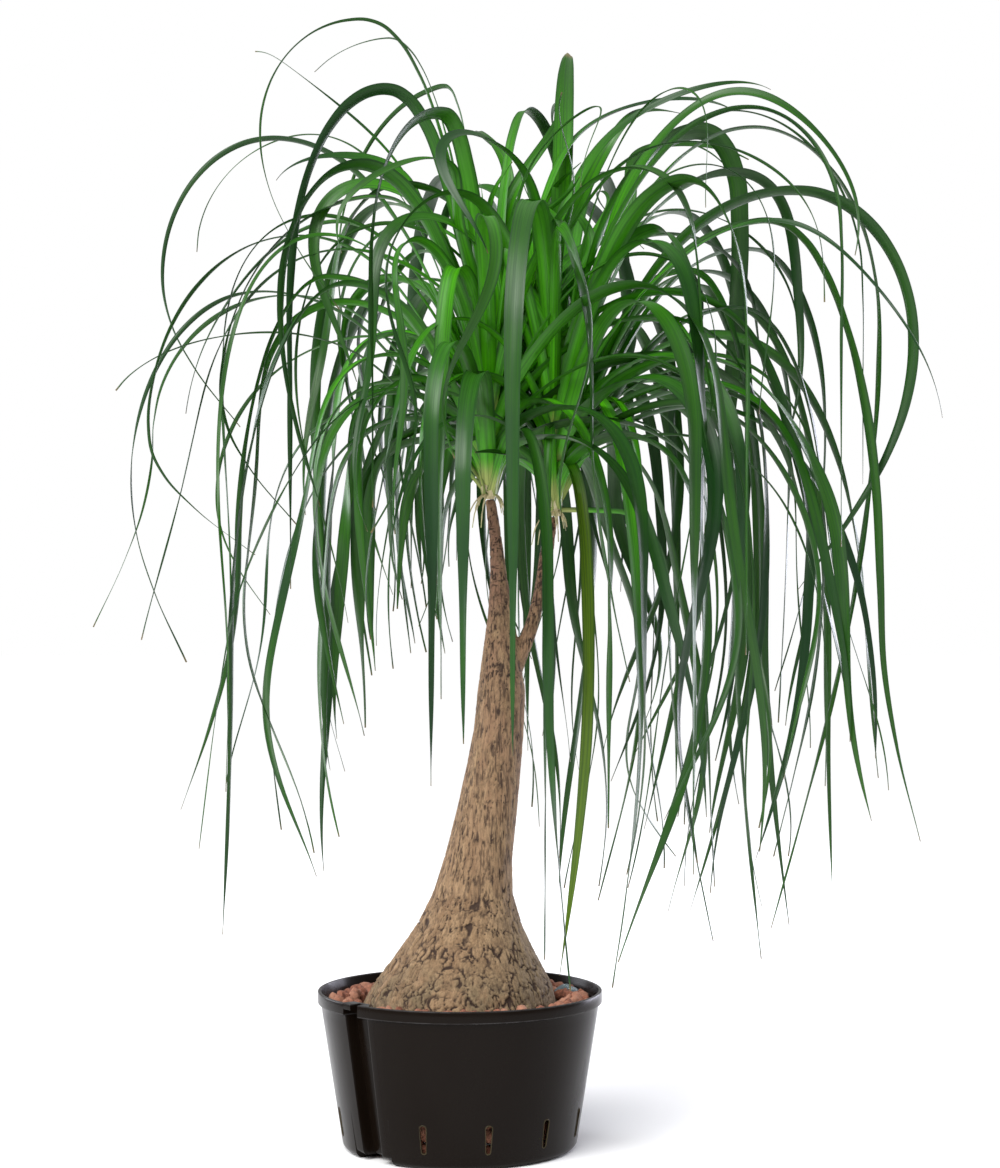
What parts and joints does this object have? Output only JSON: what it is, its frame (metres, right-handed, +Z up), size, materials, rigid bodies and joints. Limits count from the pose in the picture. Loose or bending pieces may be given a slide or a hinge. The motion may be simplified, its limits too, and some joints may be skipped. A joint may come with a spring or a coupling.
{
  "type": "potted ponytail palm",
  "caption": "Ponytail palm with a swollen forked trunk and two fountains of long arching strap leaves, in a black culture pot of clay granules.",
  "frame": {"origin": "centre of the pot's flat underside, where the plant stands", "axes": "+Z up, +X to the right and -Y to the front, with the gauge groove at the front left"},
  "size_m": [0.6505, 0.4748, 0.8642],
  "materials": {
    "pot_plastic": "gloss",
    "clay_granules": "matte",
    "bark": "matte",
    "leaf_base": "satin",
    "leaf_green": "satin"
  },
  "bodies": {
    "root": {"granulate": "clay_granules", "left_crown_heart": "leaf_base", "left_leaf_01": "leaf_green", "left_leaf_02": "leaf_green", "left_leaf_03": "leaf_green", "left_leaf_04": "leaf_green", "left_leaf_05": "leaf_green", "left_leaf_06": "leaf_green", "left_leaf_07": "leaf_green", "left_leaf_08": "leaf_green", "left_leaf_09": "leaf_green", "left_leaf_10": "leaf_green", "left_leaf_11": "leaf_green", "left_leaf_12": "leaf_green", "left_leaf_13": "leaf_green", "left_leaf_14": "leaf_green", "left_leaf_15": "leaf_green", "left_leaf_16": "leaf_green", "left_leaf_17": "leaf_green", "left_leaf_18": "leaf_green", "left_leaf_19": "leaf_green", "left_leaf_20": "leaf_green", "left_leaf_21": "leaf_green", "left_leaf_22": "leaf_green", "left_leaf_23": "leaf_green", "left_leaf_24": "leaf_green", "left_leaf_25": "leaf_green", "left_leaf_26": "leaf_green", "left_leaf_27": "leaf_green", "left_leaf_28": "leaf_green", "pot": "pot_plastic", "right_crown_heart": "leaf_base", "right_leaf_01": "leaf_green", "right_leaf_02": "leaf_green", "right_leaf_03": "leaf_green", "right_leaf_04": "leaf_green", "right_leaf_05": "leaf_green", "right_leaf_06": "leaf_green", "right_leaf_07": "leaf_green", "right_leaf_08": "leaf_green", "right_leaf_09": "leaf_green", "right_leaf_10": "leaf_green", "right_leaf_11": "leaf_green", "right_leaf_12": "leaf_green", "right_leaf_13": "leaf_green", "right_leaf_14": "leaf_green", "right_leaf_15": "leaf_green", "right_leaf_16": "leaf_green", "right_leaf_17": "leaf_green", "right_leaf_18": "leaf_green", "right_leaf_19": "leaf_green", "right_leaf_20": "leaf_green", "right_leaf_21": "leaf_green", "right_leaf_22": "leaf_green", "right_leaf_23": "leaf_green", "right_leaf_24": "leaf_green", "right_leaf_25": "leaf_green", "right_leaf_26": "leaf_green", "right_leaf_27": "leaf_green", "trunk": "bark"}
  },
  "joints": []
}
